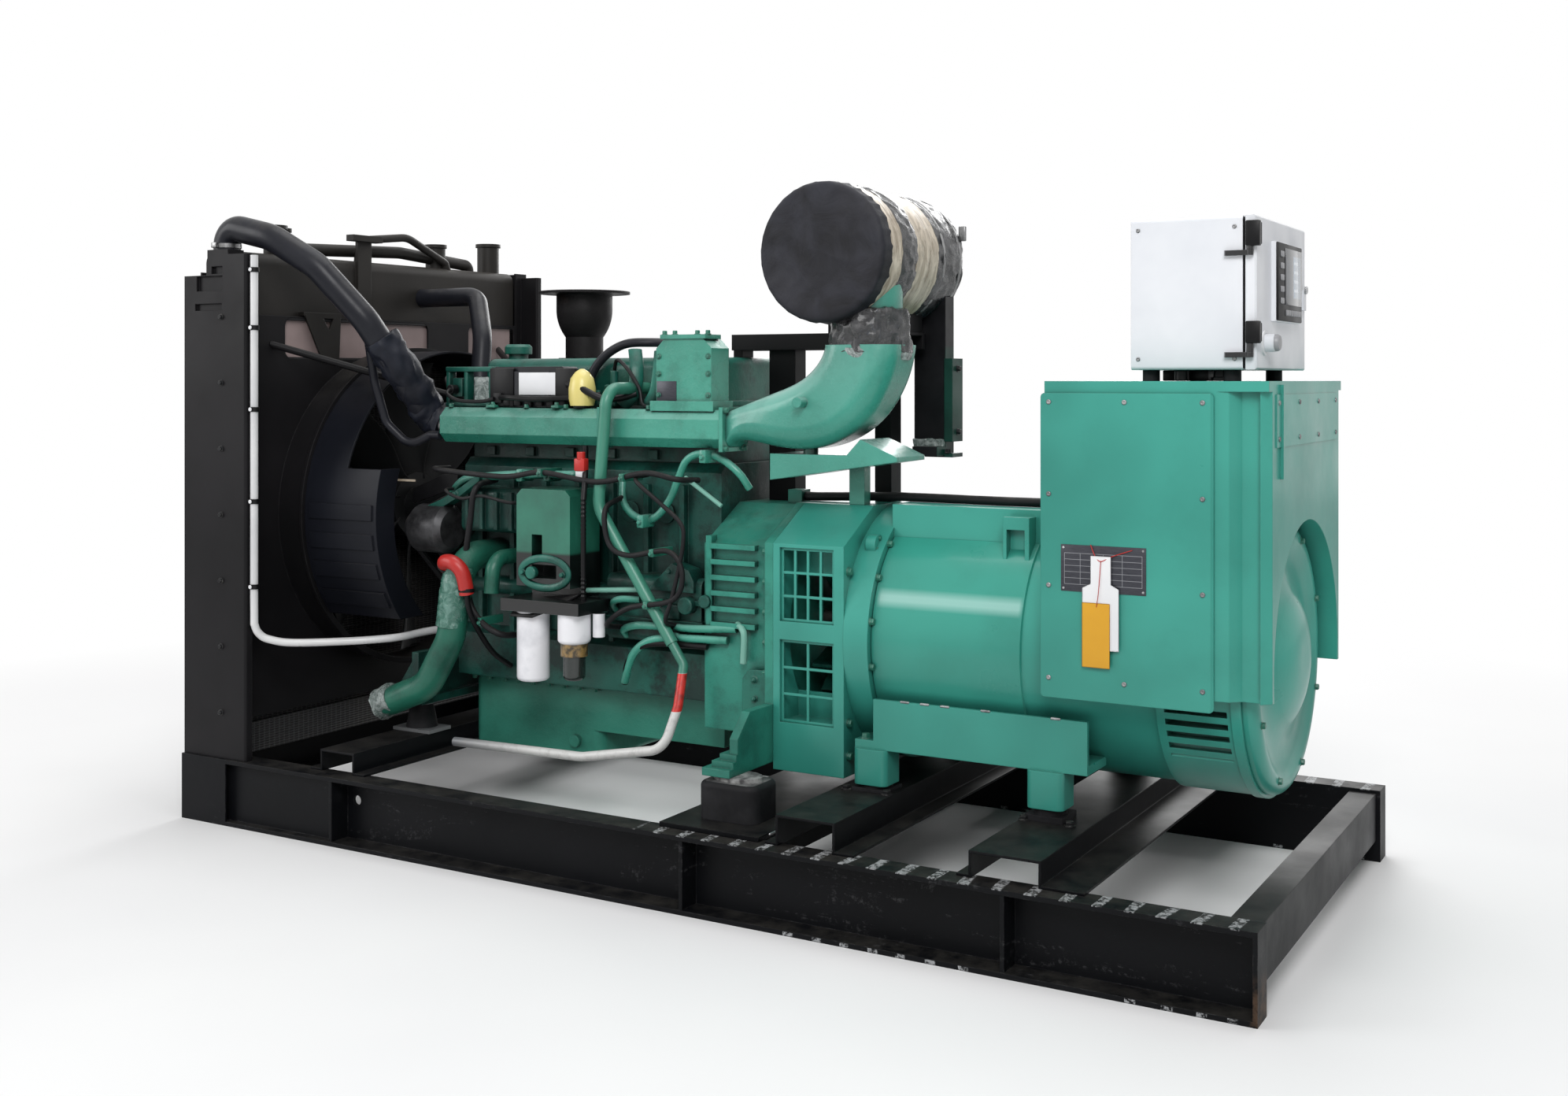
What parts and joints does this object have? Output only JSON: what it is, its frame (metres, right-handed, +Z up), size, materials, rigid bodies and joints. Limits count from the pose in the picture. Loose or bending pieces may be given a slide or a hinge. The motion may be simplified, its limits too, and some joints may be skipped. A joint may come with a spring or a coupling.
{
  "type": "generator set",
  "caption": "Open diesel generator set: radiator, inline engine, air cleaner, alternator with terminal box and control cabinet on a channel steel base frame.",
  "frame": {"origin": "on the floor under the middle of the base frame", "axes": "+X from the radiator to the alternator, -Y towards the intake side, +Z up"},
  "size_m": [3.2, 1.4, 1.825],
  "materials": {
    "frame_black": "satin black paint, scuffed",
    "rubber_black": "matt",
    "radiator_black": "satin black paint",
    "core_fins": "black coated fins",
    "engine_green": "gloss green enamel",
    "alternator_green": "semi-gloss green enamel",
    "cast_green": "green enamel on castings",
    "dark_metal": "heat-darkened",
    "white_filter": "gloss white",
    "white_pipe": "white",
    "cleaner_black": "satin black under film",
    "cabinet_white": "white powder coat",
    "fan_plastic": "moulded",
    "bare_aluminium": "dull as cast"
  },
  "bodies": {
    "set": {"rail_near": "frame_black", "rail_far": "frame_black", "front_end_member": "frame_black", "rear_end_member": "frame_black", "engine_front_member": "frame_black", "cross_member_flywheel": "frame_black", "cross_member_middle": "frame_black", "cross_member_rear": "frame_black", "rubber_mounts": "rubber_black", "radiator_side_near": "radiator_black", "radiator_side_far": "radiator_black", "radiator_core": "core_fins", "radiator_top_tank": "radiator_black", "front_grille": "radiator_black", "fan_shroud": "radiator_black", "fan": "fan_plastic", "fan_guard": "radiator_black", "stay_rods": "radiator_black", "expansion_pipe": "white_pipe", "charge_air_hose": "rubber_black", "coolant_pipes": "engine_green", "breather_line": "engine_green", "cylinder_block": "cast_green", "oil_sump": "engine_green", "cylinder_head": "cast_green", "rocker_cover": "engine_green", "intake_manifold": "engine_green", "intake_pipes": "engine_green", "control_unit": "radiator_black", "fuel_filters": "white_filter", "charging_alternator": "dark_metal", "flywheel_housing": "cast_green", "exhaust_manifold": "dark_metal", "exhaust_outlet": "dark_metal", "starter_motor": "cast_green", "air_cleaner": "cleaner_black", "air_cleaner_bracket": "radiator_black", "drive_adapter": "alternator_green", "adapter_screens": "alternator_green", "stator_frame": "alternator_green", "terminal_box": "alternator_green", "terminal_cover": "alternator_green", "end_bracket": "alternator_green", "end_cover": "alternator_green", "control_cabinet": "cabinet_white", "charge_air_header": "bare_aluminium", "cooling_fan": "cast_green", "drive_shaft": "dark_metal", "sensor_harness": "rubber_black", "drive_belt": "rubber_black", "top_hose": "rubber_black"},
    "door": {"cabinet_door": "cabinet_white"}
  },
  "joints": [
    {"name": "cabinet_door_hinge", "type": "hinge", "parent": "set", "child": "door", "pos_m": [1.4851, -0.309, 1.5], "axis": [0, 0, -1], "range_deg": [0, 110]}
  ]
}
